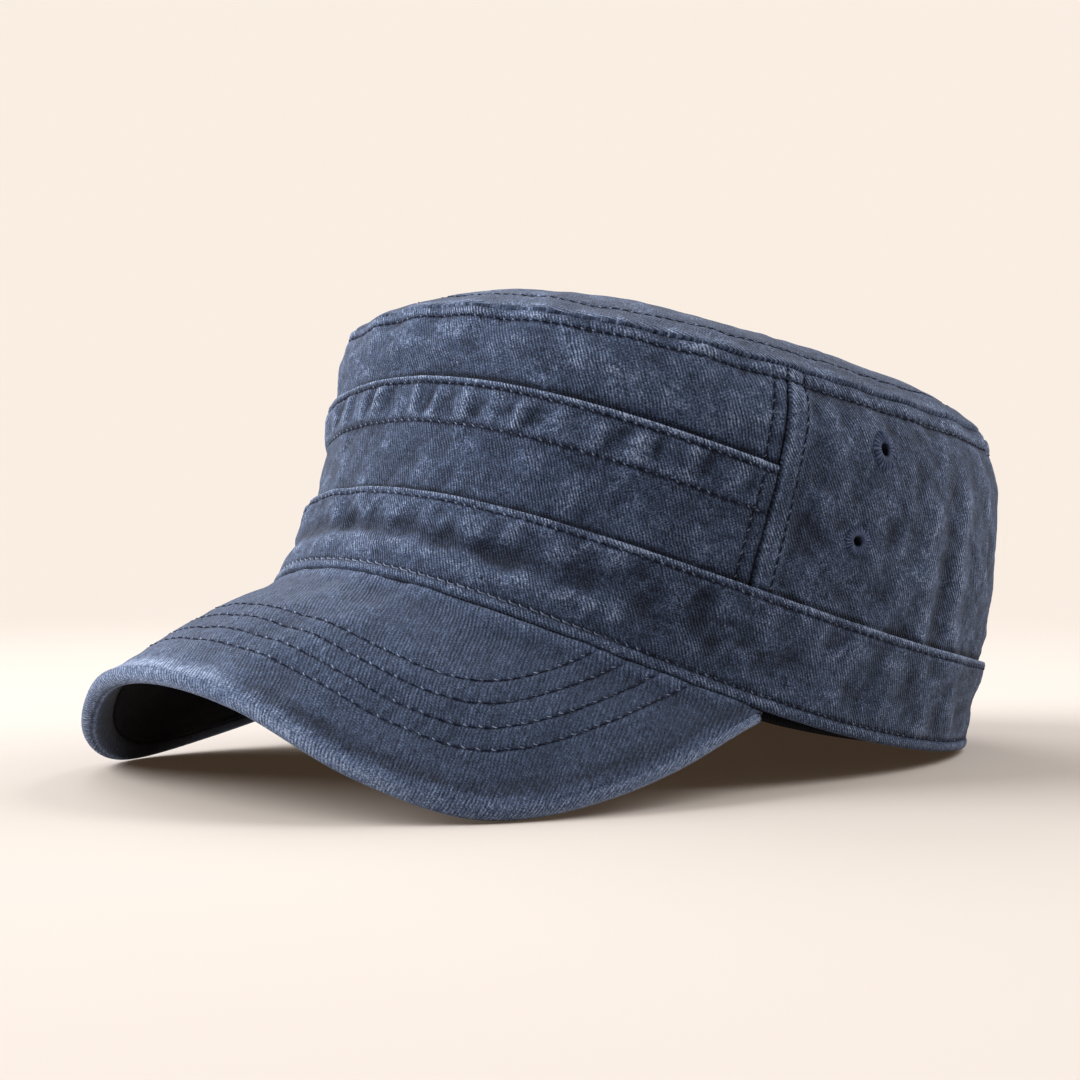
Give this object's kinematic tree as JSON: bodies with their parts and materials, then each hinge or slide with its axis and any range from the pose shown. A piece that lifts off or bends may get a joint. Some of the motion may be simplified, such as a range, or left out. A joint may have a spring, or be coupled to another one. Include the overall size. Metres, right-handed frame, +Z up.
{
  "type": "field cap",
  "caption": "Flat-topped cotton field cap with a wide band, a lapped and gathered front, stitched side eyelets and a curved peak; covers the head and shades the eyes.",
  "frame": {"origin": "on the surface the cap rests on, under the middle of its overall box", "axes": "+Z up, -Y towards the front edge of the peak, +X towards the wearer's left"},
  "size_m": [0.1666, 0.2576, 0.1211],
  "materials": {
    "twill": "washed navy cotton twill, faded on folds and edges, matt",
    "under_twill": "dark navy cotton, matt",
    "thread": "navy embroidery thread, slightly glossy"
  },
  "bodies": {
    "root": {"crown_top": "twill", "front_panel_upper": "twill", "front_panel_lower": "twill", "side_panel_left": "twill", "side_panel_right": "twill", "band": "twill", "sweatband": "under_twill", "peak": "twill", "peak_underside": "under_twill", "eyelet_left_upper": "thread", "eyelet_left_lower": "thread", "eyelet_right_upper": "thread", "eyelet_right_lower": "thread"}
  },
  "joints": []
}
